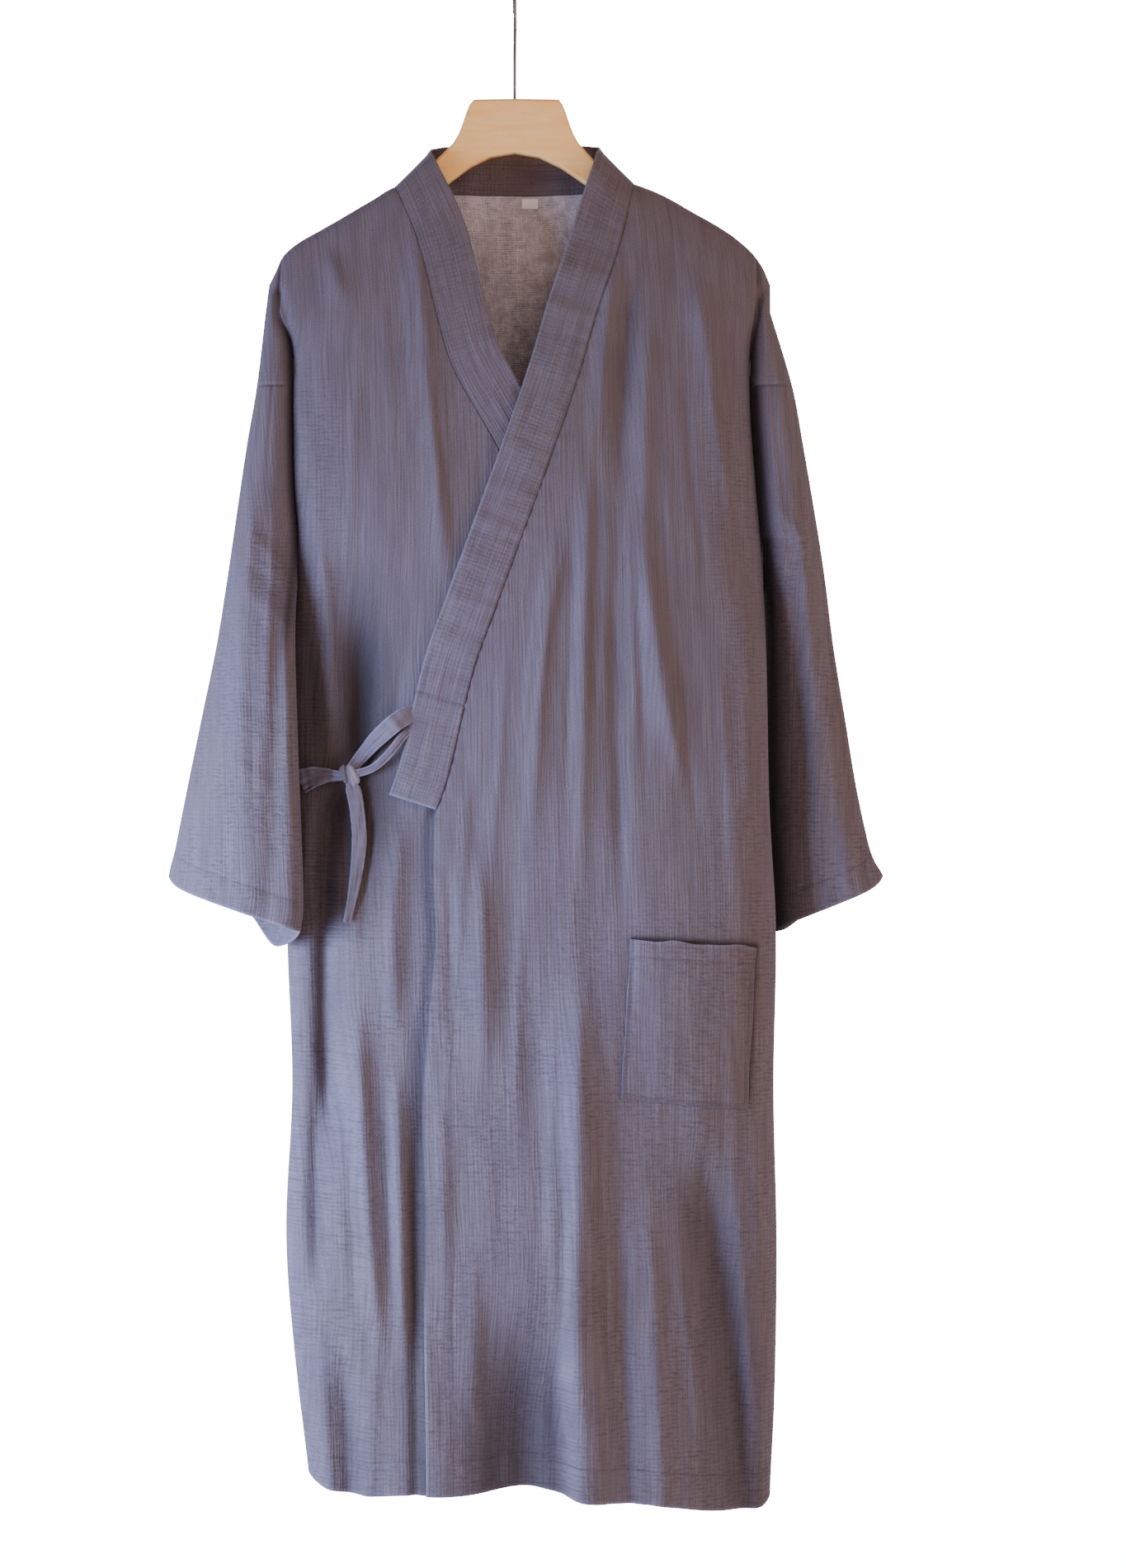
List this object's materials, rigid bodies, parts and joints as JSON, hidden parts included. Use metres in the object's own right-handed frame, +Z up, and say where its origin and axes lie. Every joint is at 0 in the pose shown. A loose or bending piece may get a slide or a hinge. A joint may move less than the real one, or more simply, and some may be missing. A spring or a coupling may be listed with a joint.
{
  "type": "kimono robe on a wooden hanger",
  "caption": "Long wrap kimono robe of dusty purple-grey crinkled double gauze with a tied half bow and a patch pocket, hanging on a pale flat wooden hanger.",
  "frame": {"origin": "the seat of the hook, the top of its inside curve, where the rail carries it", "axes": "+Z up, +X to the viewer's right along the hanger, front of the robe towards -Y"},
  "size_m": [0.6505, 0.1758, 1.3649],
  "materials": {
    "gauze": "washed and crinkled cotton double gauze, dusty purple-grey",
    "label_tape": "bare white woven tape",
    "beech": "sanded pale beech, satin lacquer",
    "steel_wire": "bright drawn steel wire"
  },
  "bodies": {
    "root": {"back": "gauze", "front_over": "gauze", "front_under": "gauze", "sleeve_left": "gauze", "sleeve_right": "gauze", "collar": "gauze", "pocket": "gauze", "tie_strap": "gauze", "tie_loop": "gauze", "tie_knot": "gauze", "tie_side": "gauze", "tie_tail": "gauze", "label": "label_tape", "hanger": "beech", "hook": "steel_wire"}
  },
  "joints": []
}
